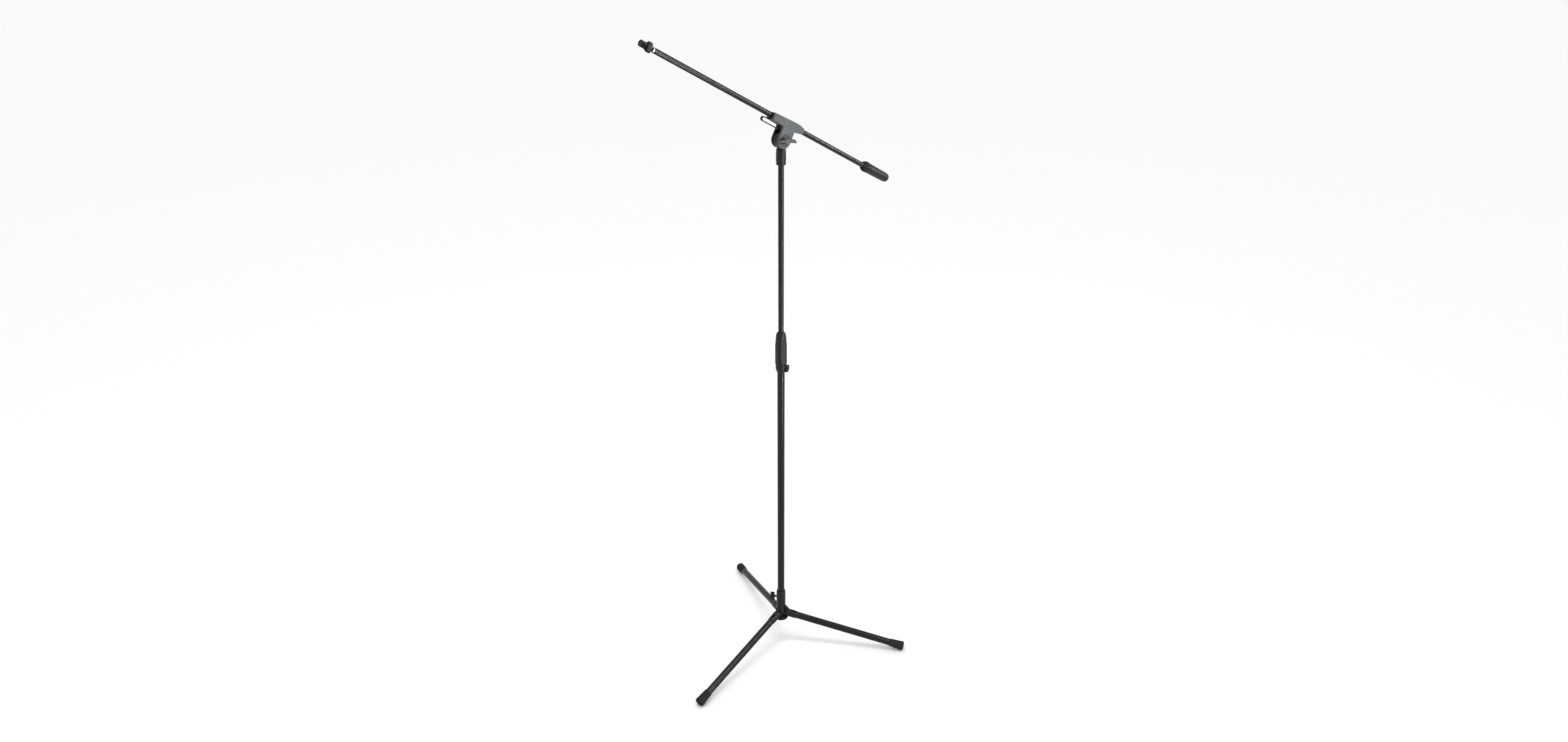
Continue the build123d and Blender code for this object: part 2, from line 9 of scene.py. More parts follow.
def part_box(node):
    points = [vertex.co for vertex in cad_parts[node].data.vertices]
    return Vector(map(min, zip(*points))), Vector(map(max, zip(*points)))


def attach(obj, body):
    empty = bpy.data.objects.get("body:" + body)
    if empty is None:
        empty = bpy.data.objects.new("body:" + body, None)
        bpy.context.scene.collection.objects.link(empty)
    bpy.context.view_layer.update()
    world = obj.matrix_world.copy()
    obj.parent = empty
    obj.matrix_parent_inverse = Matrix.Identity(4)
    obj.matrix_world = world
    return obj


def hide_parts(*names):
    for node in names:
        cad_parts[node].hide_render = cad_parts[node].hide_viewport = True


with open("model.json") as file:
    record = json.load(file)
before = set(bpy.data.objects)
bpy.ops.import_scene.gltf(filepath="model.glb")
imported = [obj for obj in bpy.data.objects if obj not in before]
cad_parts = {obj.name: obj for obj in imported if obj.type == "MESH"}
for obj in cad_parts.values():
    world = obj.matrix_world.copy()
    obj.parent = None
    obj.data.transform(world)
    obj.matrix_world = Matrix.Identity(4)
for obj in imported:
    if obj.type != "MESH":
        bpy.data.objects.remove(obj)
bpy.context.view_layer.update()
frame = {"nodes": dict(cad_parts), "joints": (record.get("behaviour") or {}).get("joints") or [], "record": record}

MM = 0.001
CREASE = 35.0                # degrees; edges sharper than this stay sharp
joints = {joint["name"]: joint for joint in frame["joints"]}
slot_of = {entry["node"]: entry["material_slot"] for entry in frame["record"]["subparts"]}
bodies = frame["record"]["behaviour"]["bodies"]
body_of = {node: body for body, nodes in bodies.items() for node in nodes}
UP = Vector((0, 0, 1))

# The boom's own axes, from the record's joints.
pivot = Vector(joints["boom_tilt"]["pos_m"])
boom_axis = Vector(joints["boom_roll"]["axis"]).normalized()
boom_point = Vector(joints["boom_roll"]["pos_m"])
tilt_axis = Vector(joints["tilt_wing_turn"]["axis"]).normalized()
boom_up = boom_axis.cross(tilt_axis)

# ---------------------------------------------------------------- camera
CAMERA_DISTANCE = 2.648      # from the mast, along -Y
CAMERA_HEIGHT = 2.217
CAMERA_PITCH = 25.3          # degrees below the horizon
CAMERA_SHIFT = 0.0019        # of the picture's width
SENSOR = 36.0                # mm
LENS = 23.414                # mm


def make_camera():
    """A wide camera above the boom's height, looking along +Y and down at the mast's middle."""
    data = bpy.data.cameras.new("camera")
    data.sensor_fit = "HORIZONTAL"
    data.sensor_width = SENSOR
    data.lens = LENS
    data.clip_start = 0.05
    data.shift_x = CAMERA_SHIFT
    camera = bpy.data.objects.new("camera", data)
    camera.location = (0, -CAMERA_DISTANCE, CAMERA_HEIGHT)
    camera.rotation_euler = (radians(90 - CAMERA_PITCH), 0, 0)
    bpy.context.scene.collection.objects.link(camera)
    bpy.context.scene.camera = camera


# ---------------------------------------------------------------- light and floor
FLOOR_HALF = 60.0            # metres; wide enough to fill the camera's view
BOOM_STRIP_PLACE = (1.42, -0.32, 1.95)
MAST_STRIP_PLACE = (1.10, -1.02, 0.75)
FILL_STRIP_PLACE = (-1.3, -1.1, 0.9)
TOP_PLACE = (0, -0.2, 3.6)
BOOM_STRIP_AIM = 0.3         # metres along the boom from its roll joint's point


def level_with(place):
    """The mast's point at the height of a place."""
    return Vector((0, 0, place[2]))


def area_light(name, place, aim, along, size, power):
    """A soft box with its long side along a direction. The camera doesn't see the box itself."""
    data = bpy.data.lights.new(name, "AREA")
    data.shape = "RECTANGLE"
    data.size, data.size_y = size
    data.energy = power
    light = bpy.data.objects.new(name, data)
    light.matrix_world = placed(place, Vector(place) - Vector(aim), along)
    light.visible_camera = False
    bpy.context.scene.collection.objects.link(light)
    return light


def make_floor():
    """A white paper floor."""
    half = FLOOR_HALF
    corners = [(-half, -half, 0), (half, -half, 0), (half, half, 0), (-half, half, 0)]
    floor = mesh_object("floor", corners, [(0, 1, 2, 3)])
    paper = bpy.data.materials.new("studio_floor")
    paper.use_nodes = True
    shader = paper.node_tree.nodes["Principled BSDF"]
    shader.inputs["Base Color"].default_value = (0.95, 0.95, 0.95, 1)
    shader.inputs["Roughness"].default_value = 0.9
    floor.data.materials.append(paper)
    return floor


def make_surround():
    """A white studio all round, shown without a film curve."""
    bpy.context.scene.view_settings.view_transform = "Standard"
    world = bpy.data.worlds.new("studio")
    bpy.context.scene.world = world
    world.use_nodes = True
    background = world.node_tree.nodes["Background"]
    background.inputs["Color"].default_value = (1, 1, 1, 1)
    background.inputs["Strength"].default_value = 1.0


def make_lights(floor):
    """A soft box overhead, and strips that the tubes mirror. The strips don't light the floor."""
    area_light("top", TOP_PLACE, aim=(0, 0, 0), along=(1, 0, 0), size=(1.6, 0.4), power=30)
    boom_middle = boom_point + boom_axis * BOOM_STRIP_AIM
    mast_beside = level_with(MAST_STRIP_PLACE)
    mast_opposite = level_with(FILL_STRIP_PLACE)
    strips = [
        area_light("boom_strip", BOOM_STRIP_PLACE, boom_middle, boom_axis, size=(1.4, 0.12), power=32),
        area_light("mast_strip", MAST_STRIP_PLACE, mast_beside, UP, size=(1.5, 0.10), power=24),
        area_light("fill_strip", FILL_STRIP_PLACE, mast_opposite, UP, size=(1.6, 0.1), power=4),
    ]
    unlit = bpy.data.collections.new("out_of_the_strips")
    unlit.objects.link(floor)
    unlit.collection_objects[0].light_linking.link_state = "EXCLUDE"
    for strip in strips:
        strip.light_linking.receiver_collection = unlit


# ---------------------------------------------------------------- materials
COAT_SPECULAR = 0.2          # black coatings and plastics mirror less than the shader's default


def node_material(name):
    """A new node material, as (material, tree, shader)."""
    material = bpy.data.materials.new(name)
    material.use_nodes = True
    tree = material.node_tree
    return material, tree, tree.nodes["Principled BSDF"]


def noise_from(tree, scale, detail=4.0, stretch=(1, 1, 1), distortion=0.0):
    """Noise fixed to the piece, with its features 1/scale metres wide."""
    place = tree.nodes.new("ShaderNodeTexCoord")
    mapping = tree.nodes.new("ShaderNodeMapping")
    mapping.inputs["Scale"].default_value = stretch
    tree.links.new(place.outputs["Object"], mapping.inputs["Vector"])
    noise = tree.nodes.new("ShaderNodeTexNoise")
    noise.inputs["Scale"].default_value = scale
    noise.inputs["Detail"].default_value = detail
    noise.inputs["Distortion"].default_value = distortion
    tree.links.new(mapping.outputs["Vector"], noise.inputs["Vector"])
    return noise.outputs["Fac"]


def ramp_from(tree, factor, stops):
    """A colour ramp over a factor; stops are (position, colour)."""
    ramp = tree.nodes.new("ShaderNodeValToRGB")
    elements = ramp.color_ramp.elements
    elements[0].position, elements[0].color = stops[0]
    elements[1].position, elements[1].color = stops[-1]
    for position, colour in stops[1:-1]:
        elements.new(position).color = colour
    tree.links.new(factor, ramp.inputs["Fac"])
    return ramp.outputs["Color"]


def spread(tree, factor, low, high):
    """The factor's middle range stretched to low..high."""
    remap = tree.nodes.new("ShaderNodeMapRange")
    remap.inputs["From Min"].default_value = 0.3
    remap.inputs["From Max"].default_value = 0.7
    remap.inputs["To Min"].default_value = low
    remap.inputs["To Max"].default_value = high
    tree.links.new(factor, remap.inputs["Value"])
    return remap.outputs["Result"]


def mixed(tree, factor, first, second):
    """Colour first where the factor is 0, second where it is 1. Each is a socket or a colour."""
    mix = tree.nodes.new("ShaderNodeMix")
    mix.data_type = "RGBA"
    tree.links.new(factor, mix.inputs["Factor"])
    for value, socket in ((first, mix.inputs["A"]), (second, mix.inputs["B"])):
        if isinstance(value, tuple):
            socket.default_value = value
        else:
            tree.links.new(value, socket)
    return mix.outputs["Result"]


def bumped(tree, shader, layers):
    """Chains bump layers, each (height socket, strength, distance in metres), into the shader's normal."""
    previous = None
    for height, strength, distance in layers:
        bump = tree.nodes.new("ShaderNodeBump")
        bump.inputs["Strength"].default_value = strength
        bump.inputs["Distance"].default_value = distance
        tree.links.new(height, bump.inputs["Height"])
        if previous is not None:
            tree.links.new(previous, bump.inputs["Normal"])
        previous = bump.outputs["Normal"]
    tree.links.new(previous, shader.inputs["Normal"])


def worn_edges(tree, low, high):
    """1 on a piece's convex edges, broken up by noise, and 0 elsewhere."""
    geometry = tree.nodes.new("ShaderNodeNewGeometry")
    edge = tree.nodes.new("ShaderNodeMapRange")
    edge.inputs["From Min"].default_value = low
    edge.inputs["From Max"].default_value = high
    tree.links.new(geometry.outputs["Pointiness"], edge.inputs["Value"])
    patches = spread(tree, noise_from(tree, 260.0, detail=3.0), 0.0, 1.0)
    both = tree.nodes.new("ShaderNodeMath")
    both.operation = "MULTIPLY"
    tree.links.new(edge.outputs["Result"], both.inputs[0])
    tree.links.new(patches, both.inputs[1])
    return both.outputs["Value"]


def grey(level, tint=0.0):
    """A near-neutral colour, slightly blue with a positive tint."""
    return (level * (1 - tint), level, level * (1 + tint), 1)


def enamel(name, level, roughness, orange_peel):
    """Powder coat: fine orange peel, faint cloudiness and a few dust specks."""
    material, tree, shader = node_material(name)
    cloud = noise_from(tree, 22.0, detail=3.0)
    base = mixed(tree, spread(tree, cloud, 0.0, 1.0), grey(level * 0.8), grey(level * 1.3, 0.02))
    specks = ramp_from(tree, noise_from(tree, 900.0, detail=2.0), [(0.70, grey(0.0)), (0.76, grey(1.0))])
    base = mixed(tree, specks, base, grey(level * 3.0))
    tree.links.new(base, shader.inputs["Base Color"])
    rubbed = spread(tree, noise_from(tree, 60.0), roughness - 0.012, roughness + 0.02)
    tree.links.new(rubbed, shader.inputs["Roughness"])
    peel = noise_from(tree, 850.0, detail=2.0)
    grain = noise_from(tree, 3600.0, detail=1.0)
    bumped(tree, shader, [(peel, orange_peel, 0.00012), (grain, 0.12, 0.00003)])
    shader.inputs["Specular IOR Level"].default_value = COAT_SPECULAR
    return material


def casting(name, level, roughness, tint=0.0):
    """Coated die casting: coarser skin than a tube, lighter where its edges are rubbed."""
    material, tree, shader = node_material(name)
    cloud = noise_from(tree, 35.0, detail=4.0, distortion=0.3)
    base = mixed(tree, spread(tree, cloud, 0.0, 1.0), grey(level * 0.85, tint), grey(level * 1.2, tint))
    base = mixed(tree, worn_edges(tree, 0.56, 0.66), base, grey(level * 2.2 + 0.03, tint))
    tree.links.new(base, shader.inputs["Base Color"])
    rubbed = spread(tree, noise_from(tree, 110.0), roughness - 0.03, roughness + 0.04)
    tree.links.new(rubbed, shader.inputs["Roughness"])
    skin = noise_from(tree, 520.0, detail=4.0)
    grain = noise_from(tree, 2400.0, detail=2.0)
    bumped(tree, shader, [(skin, 0.16, 0.00025), (grain, 0.2, 0.00006)])
    shader.inputs["Specular IOR Level"].default_value = COAT_SPECULAR
    return material


def moulded(name, level, roughness, texture):
    """Moulded plastic with a spark-eroded grain and slightly polished edges."""
    material, tree, shader = node_material(name)
    cloud = noise_from(tree, 45.0, detail=2.0)
    base = mixed(tree, spread(tree, cloud, 0.0, 1.0), grey(level * 0.9), grey(level * 1.15))
    base = mixed(tree, worn_edges(tree, 0.57, 0.68), base, grey(level * 1.7 + 0.01))
    tree.links.new(base, shader.inputs["Base Color"])
    rubbed = spread(tree, noise_from(tree, 300.0), roughness - 0.04, roughness + 0.04)
    tree.links.new(rubbed, shader.inputs["Roughness"])
    grain = noise_from(tree, 1500.0, detail=3.0)
    flow = noise_from(tree, 90.0, detail=2.0, stretch=(1, 1, 0.3))
    bumped(tree, shader, [(flow, 0.05, 0.0004), (grain, texture, 0.00009)])
    shader.inputs["Specular IOR Level"].default_value = COAT_SPECULAR
    return material


def rubber(name, level):
    """Dull moulded rubber with a dusty bloom."""
    material, tree, shader = node_material(name)
    bloom = noise_from(tree, 120.0, detail=5.0, distortion=0.6)
    base = mixed(tree, spread(tree, bloom, 0.0, 1.0), grey(level * 0.8), grey(level * 1.7))
    tree.links.new(base, shader.inputs["Base Color"])
    tree.links.new(spread(tree, bloom, 0.62, 0.85), shader.inputs["Roughness"])
    bumped(tree, shader, [(noise_from(tree, 1100.0, detail=4.0), 0.3, 0.0001)])
    shader.inputs["Specular IOR Level"].default_value = 0.18
    return material


def plated(name, level, roughness):
    """Plated steel with fine turning marks and a little tarnish."""
    material, tree, shader = node_material(name)
    tarnish = noise_from(tree, 240.0, detail=4.0)
    base = mixed(tree, spread(tree, tarnish, 0.0, 1.0), grey(level * 0.75, -0.03), grey(level * 1.05, 0.02))
    tree.links.new(base, shader.inputs["Base Color"])
    marks = noise_from(tree, 1400.0, detail=2.0, stretch=(1, 1, 6))
    tree.links.new(spread(tree, marks, roughness - 0.08, roughness + 0.1), shader.inputs["Roughness"])
    bumped(tree, shader, [(marks, 0.1, 0.00004)])
    shader.inputs["Metallic"].default_value = 1.0
    return material


def fibre(name):
    """Pressed brown-black friction fibre."""
    material, tree, shader = node_material(name)
    strands = noise_from(tree, 800.0, detail=6.0, distortion=1.5)
    base = ramp_from(tree, strands, [(0.35, (0.03, 0.025, 0.02, 1)), (0.65, (0.12, 0.1, 0.08, 1))])
    tree.links.new(base, shader.inputs["Base Color"])
    tree.links.new(spread(tree, strands, 0.8, 0.95), shader.inputs["Roughness"])
    bumped(tree, shader, [(strands, 0.4, 0.0001)])
    return material


materials = {
    "tube_enamel": enamel("tube_enamel", level=0.004, roughness=0.22, orange_peel=0.05),
    "cast_black": casting("cast_black", level=0.004, roughness=0.36),
    "clamp_grey": casting("clamp_grey", level=0.05, roughness=0.55, tint=0.03),
    "clamp_black": casting("clamp_black", level=0.003, roughness=0.45),
    "grip_plastic": moulded("grip_plastic", level=0.005, roughness=0.36, texture=0.2),
    "black_plastic": moulded("black_plastic", level=0.004, roughness=0.46, texture=0.22),
    "wing_plastic": moulded("wing_plastic", level=0.055, roughness=0.45, texture=0.18),
    "weight_plastic": moulded("weight_plastic", level=0.006, roughness=0.36, texture=0.16),
    "rubber_black": rubber("rubber_black", level=0.004),
    "friction_fibre": fibre("friction_fibre"),
    "plated_steel": plated("plated_steel", level=0.5, roughness=0.3),
    "black_steel": plated("black_steel", level=0.035, roughness=0.35),
}


# ---------------------------------------------------------------- mesh helpers
def placed(point, along, towards):
    """A matrix whose z runs along one direction, with x as near as it can be to another."""
    z = Vector(along).normalized()
    x = Vector(towards) - z * Vector(towards).dot(z)
    x.normalize()
    y = z.cross(x)
    turn = Matrix((x, y, z)).transposed().to_4x4()
    return Matrix.Translation(point) @ turn


def reach(node, point, along):
    """(start, end, largest radius) of a CAD node along a line, in metres from the point."""
    axis = Vector(along).normalized()
    stretch = []
    widest = 0.0
    for vertex in frame["nodes"][node].data.vertices:
        arm = vertex.co - Vector(point)
        distance = arm.dot(axis)
        stretch.append(distance)
        widest = max(widest, (arm - axis * distance).length)
    return min(stretch), max(stretch), widest


def face_outwards(mesh):
    """Turns every face of a closed skin outwards."""
    work = bmesh.new()
    work.from_mesh(mesh)
    bmesh.ops.recalc_face_normals(work, faces=work.faces)
    work.to_mesh(mesh)
    work.free()


def mesh_object(name, vertices, faces):
    """A mesh object, linked to the scene."""
    mesh = bpy.data.meshes.new(name)
    mesh.from_pydata([tuple(v) for v in vertices], [], faces)
    result = bpy.data.objects.new(name, mesh)
    bpy.context.scene.collection.objects.link(result)
    return result


def add_piece(name, vertices, faces, body, slot, replaced, crease):
    """A shaded mesh piece in the row frame that rides on a body and takes its slot's material."""
    piece = mesh_object(name, vertices, faces)
    face_outwards(piece.data)
    finish_piece(piece, body, slot, replaced, crease)
    return piece


def finish_piece(piece, body, slot, replaced, crease):
    """Gives a piece its shading, its slot's material and its body, and hides the nodes it stands for."""
    piece.data.materials.clear()
    piece.data.materials.append(materials[slot])
    piece.data.shade_smooth()
    piece.data.set_sharp_from_angle(angle=radians(crease))
    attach(piece, body)
    if replaced:
        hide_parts(*replaced)


def softened(points, radius, steps=4, closed=True):
    """A 2-D outline with each corner rounded by up to the radius. A point (x, y, r) has its own radius."""
    result = []
    count = len(points)
    for index, point in enumerate(points):
        here = Vector(point[:2])
        if not closed and index in (0, count - 1):
            result.append(tuple(here))
            continue
        before = Vector(points[index - 1][:2]) - here
        after = Vector(points[(index + 1) % count][:2]) - here
        wanted = point[2] if len(point) > 2 else radius
        setback = min(wanted, 0.45 * before.length, 0.45 * after.length)
        if setback <= 0:
            result.append(tuple(here))
            continue
        start = here + before.normalized() * setback
        end = here + after.normalized() * setback
        for step in range(steps + 1):
            t = step / steps
            curve = start * (1 - t) ** 2 + here * 2 * t * (1 - t) + end * t ** 2
            result.append(tuple(curve))
    return result


def spun(outline, place, segments=96, wave=None):
    """Vertices and faces of a closed (radius, height) outline spun about a placed z axis.

    wave(angle, radius, height) gives a new radius. An outline that starts on the axis ends on it too.
    """
    solid = outline[0][0] <= 1e-9
    ring = outline[1:-1] if solid else outline
    vertices = []
    for radius, height in ring:
        for s in range(segments):
            angle = 2 * pi * s / segments
            r = wave(angle, radius, height) if wave else radius
            vertices.append(place @ Vector((r * cos(angle), r * sin(angle), height)))
    faces = []
    rows = len(ring)
    for row in range(rows - 1 if solid else rows):
        after = (row + 1) % rows
        for s in range(segments):
            t = (s + 1) % segments
            faces.append((row * segments + s, row * segments + t, after * segments + t, after * segments + s))
    if solid:
        first = len(vertices)
        vertices.append(place @ Vector((0, 0, outline[0][1])))
        vertices.append(place @ Vector((0, 0, outline[-1][1])))
        last_row = (rows - 1) * segments
        for s in range(segments):
            t = (s + 1) % segments
            faces.append((first, t, s))
            faces.append((first + 1, last_row + s, last_row + t))
    return vertices, faces


def divided(outline, step):
    """An outline with more points along its long runs, so that a wave has rings to work on."""
    result = []
    for index, point in enumerate(outline):
        result.append(point)
        if index + 1 == len(outline) and outline[0][0] <= 1e-9:
            break
        after = outline[(index + 1) % len(outline)]
        length = (Vector(after) - Vector(point)).length
        pieces = int(length / step)
        on_axis = point[0] <= 1e-9 or after[0] <= 1e-9
        for k in range(1, 0 if on_axis else pieces):
            share = k / pieces
            result.append(tuple(Vector(point).lerp(Vector(after), share)))
    return result


def smooth_step(value, low, high):
    """0 below low, 1 above high, smooth between."""
    share = min(1.0, max(0.0, (value - low) / (high - low)))
    return share * share * (3 - 2 * share)


def scaled(points):
    """Millimetres to metres, for outline points."""
    return [tuple(value * MM for value in point) for point in points]


def lofted(sections):
    """A closed skin over rings of the same number of points, with flat ends."""
    count = len(sections[0])
    vertices = [point for section in sections for point in section]
    faces = []
    for row in range(len(sections) - 1):
        for s in range(count):
            t = (s + 1) % count
            faces.append((row * count + s, row * count + t, (row + 1) * count + t, (row + 1) * count + s))
    faces.append(tuple(reversed(range(count))))
    last = (len(sections) - 1) * count
    faces.append(tuple(last + s for s in range(count)))
    return vertices, faces


def joined(*parts):
    """Several (vertices, faces) as one."""
    vertices, faces = [], []
    for part_vertices, part_faces in parts:
        offset = len(vertices)
        vertices += part_vertices
        faces += [tuple(index + offset for index in face) for face in part_faces]
    return vertices, faces


def with_modifiers(piece, settings):
    """Applies (type, {setting: value}) modifiers, one after another, to the piece's mesh."""
    for kind, values in settings:
        modifier = piece.modifiers.new(kind.lower(), kind)
        for setting, value in values.items():
            setattr(modifier, setting, value)
    bpy.context.view_layer.update()
    graph = bpy.context.evaluated_depsgraph_get()
    mesh = bpy.data.meshes.new_from_object(piece.evaluated_get(graph))
    piece.modifiers.clear()
    old = piece.data
    piece.data = mesh
    bpy.data.meshes.remove(old)


def melted(name, vertices, faces, voxel, rounds, body, slot, replaced):
    """Overlapping shells melted into one moulded skin with rounded edges and inside corners."""
    piece = mesh_object(name, vertices, faces)
    face_outwards(piece.data)
    with_modifiers(piece, [
        ("REMESH", {"mode": "VOXEL", "voxel_size": voxel}),
        ("SMOOTH", {"factor": 0.5, "iterations": rounds}),
    ])
    finish_piece(piece, body, slot, replaced, crease=180.0)
    return piece


def recast(node, voxel=0.6 * MM, rounds=5):
    """Stands for a cast CAD node: the same shape with every edge rounded, as a die casting has."""
    source = frame["nodes"][node].data
    vertices = [vertex.co for vertex in source.vertices]
    faces = [tuple(polygon.vertices) for polygon in source.polygons]
    piece = mesh_object(node + "_cast", vertices, faces)
    with_modifiers(piece, [
        ("WELD", {"merge_threshold": 0.00001}),
        ("REMESH", {"mode": "VOXEL", "voxel_size": voxel}),
        ("SMOOTH", {"factor": 0.5, "iterations": rounds}),
        ("DECIMATE", {"ratio": 0.4}),
    ])
    finish_piece(piece, body_of[node], slot_of[node], (node,), crease=180.0)
    return piece


# ---------------------------------------------------------------- CAD nodes that stay
def dress_nodes():
    """Every CAD node gets its slot's material and smooth shading between its sharp edges."""
    for entry in frame["record"]["subparts"]:
        node = frame["nodes"][entry["node"]]
        node.data.materials.clear()
        node.data.materials.append(materials[entry["material_slot"]])
        node.data.shade_smooth()
        node.data.set_sharp_from_angle(angle=radians(CREASE))


# ---------------------------------------------------------------- castings
def make_castings():
    """The cast and moulded nodes, with every edge rounded."""
    for node in ("hub", "spreader_cap", "clutch_body", "swivel_body", "clamp_near", "clamp_far"):
        recast(node)
    for number in (1, 2, 3):
        recast(f"leg_knuckle_{number}")
    recast("cable_clip", 0.4 * MM, 3)


# In the outlines below a point is (radius, height) or (radius, height, corner radius), in millimetres.
# ---------------------------------------------------------------- twist grip
GRIP_SCALLOPS = 10
SCALLOP_DEPTH = 0.85 * MM
SCALLOPED_FROM = 14.4 * MM   # smaller radii are the bore and the shoulder
RIDGE_BLUNTNESS = 0.008


def grip_wave(angle, radius, height):
    """Scallops with narrow ridges between them, fading out towards the skirt and the shoulder."""
    if radius < SCALLOPED_FROM:
        return radius
    fade_in = smooth_step(height, 5 * MM, 15 * MM)
    fade_out = 1 - smooth_step(height, 76 * MM, 95 * MM)
    ridge = sqrt(cos(GRIP_SCALLOPS * angle / 2) ** 2 + RIDGE_BLUNTNESS) - sqrt(RIDGE_BLUNTNESS)
    return radius - SCALLOP_DEPTH * ridge * fade_in * fade_out


def grip_shell():
    """The clutch's twist grip: rounded skirt, a shallow step and long scallops."""
    low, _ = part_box("clutch_grip")
    centre = Vector(joints["grip_turn"]["pos_m"])
    outline = softened([
        (14.25, 0), (15.6, 0, 0.5), (17.3, 3.6, 2.5), (17.6, 14, 4), (17.5, 63.4, 0.3),
        (16.8, 65.2, 0.5), (15.9, 78.4, 6), (14.6, 89.4, 5), (12.9, 95.4, 2.5), (10.6, 98.4, 1.2),
        (8.6, 98.4, 0.5), (8.6, 86.4, 1), (10.4, 81.4, 1), (14.1, 60, 1), (14.25, 48.4, 0.5),
    ], 0.3)
    rings = divided(scaled(outline), 2.0 * MM)
    place = Matrix.Translation((centre.x, centre.y, low.z))
    vertices, faces = spun(rings, place, 240, grip_wave)
    add_piece("grip_shell", vertices, faces, "clutch_grip", "grip_plastic", ("clutch_grip",), crease=50)


# ---------------------------------------------------------------- feet
LEG_SLOPE = radians(13.9)
PIN_ABOVE_LEG = 4.0 * MM


def leg_line(number):
    """A leg's centre line: the point beside its hinge pin, and its direction outwards."""
    pin = Vector(joints[f"leg_{number}_fold"]["pos_m"])
    outwards = Vector((pin.x, pin.y, 0)).normalized()
    along = outwards * cos(LEG_SLOPE) - UP * sin(LEG_SLOPE)
    across = outwards * sin(LEG_SLOPE) + UP * cos(LEG_SLOPE)
    return pin - across * PIN_ABOVE_LEG, along


def rubber_foot(number):
    """A moulded rubber boot: beaded mouth, two grip rings, a flared end, flattened where it stands."""
    point, along = leg_line(number)
    node = f"foot_cap_{number}"
    start, _, _ = reach(node, point, along)
    outline = softened([
        (10.75, 0), (12.0, 0, 0.6), (12.5, 1.4, 0.6), (12.5, 3.2, 0.5), (12.0, 4.0, 0.4), (12.1, 6.2, 0.4),
        (12.7, 7.0, 0.4), (12.75, 9.0, 0.4), (12.2, 9.8, 0.4), (12.3, 12.0, 0.4), (12.95, 12.8, 0.5),
        (13.4, 26, 6), (14.3, 35, 4), (14.5, 40, 2), (14.0, 42.4, 1.2), (12.6, 43.7, 1.2), (7, 45.2, 2),
        (0, 45.4),
    ], 0.3, closed=False)
    outline = [(0, 38.2), (10.75, 38.2)] + outline
    rings = divided(scaled(outline), 2.0 * MM)
    place = placed(point + along * start, along, UP)
    vertices, faces = spun(rings, place, 96)
    vertices = [Vector((v.x, v.y, max(v.z, 0.0))) for v in vertices]
    add_piece(f"rubber_foot_{number}", vertices, faces, f"leg_{number}", "rubber_black", (node,), crease=40)


# ---------------------------------------------------------------- wing nuts
WING_PITCH = radians(30)     # how far each blade of the tilt wing leans out of the bolt's direction
WING_MIDDLE = 10.4 * MM      # the tilt wing's inner end to the middle of its blades
BLADE_SECTIONS = 22
BLADE_POINTS = 28


def wing_blade(place, length, half_width, half_thickness):
    """A paddle along x, as wide as it is along z: narrow at its root, full near its tip and thin there."""
    sections = []
    for step in range(BLADE_SECTIONS + 1):
        share = step / BLADE_SECTIONS
        u = length * share
        swell = 0.72 + 0.28 * smooth_step(share, 0.25, 0.7)
        tip = sqrt(max(0.0, 1 - smooth_step(share, 0.72, 1.0) ** 2)) * 0.985 + 0.015
        width = half_width * swell * tip
        thickness = half_thickness * (1 - 0.35 * share) * max(tip, 0.12) ** 0.6
        ring = []
        for k in range(BLADE_POINTS):
            angle = 2 * pi * k / BLADE_POINTS
            across = copysign(abs(cos(angle)) ** 0.55, cos(angle)) * width
            through = copysign(abs(sin(angle)) ** 0.75, sin(angle)) * thickness
            ring.append(place @ Vector((u, through, across)))
        sections.append(ring)
    return lofted(sections)


def hollowed_blade(place, length, half_width, half_thickness):
    """A wing blade that starts outside the threaded insert's hole."""
    inner = 6.6 * MM
    shift = Matrix.Translation((inner, 0, 0))
    return wing_blade(place @ shift, length - inner, half_width, half_thickness)


def wing_direction(node, point, axis):
    """The direction in which a winged or lobed node reaches out from its axis."""
    arms = []
    for vertex in frame["nodes"][node].data.vertices:
        arm = vertex.co - Vector(point)
        arms.append(arm - axis * arm.dot(axis))
    furthest = max(arms, key=lambda arm: arm.length)
    ahead = [arm for arm in arms if arm.dot(furthest) > 0.8 * furthest.length ** 2]
    return sum(ahead, Vector((0, 0, 0))).normalized()


def tilt_wing_nut():
    """The big wing nut on the tilt bolt."""
    start, _, span = reach("tilt_wing", pivot, tilt_axis)
    across = wing_direction("tilt_wing", pivot, tilt_axis)
    place = placed(pivot + tilt_axis * start, tilt_axis, across)
    hub = softened([
        (6.1, 12.0), (6.1, 0), (8.9, 0, 0.6), (8.9, 6.0, 1.0), (8.0, 8.4, 1.5), (7.4, 13.6, 1.0),
        (6.0, 14.75, 1.2),
    ], 0.4, closed=False)
    hub = [(0, 12.0)] + hub + [(0, 14.8)]
    parts = [spun(divided(scaled(hub), 1.5 * MM), place, 64)]
    lean = Matrix.Translation((0, 0, WING_MIDDLE)) @ Matrix.Rotation(WING_PITCH, 4, "X")
    for half_turn in (0, pi):
        turn = Matrix.Rotation(half_turn, 4, "Z")
        parts.append(hollowed_blade(place @ turn @ lean, span * 0.995, 7.9 * MM, 2.45 * MM))
    vertices, faces = joined(*parts)
    melted("tilt_wing_nut", vertices, faces, 0.5 * MM, 4, "tilt_wing", "wing_plastic", ("tilt_wing",))


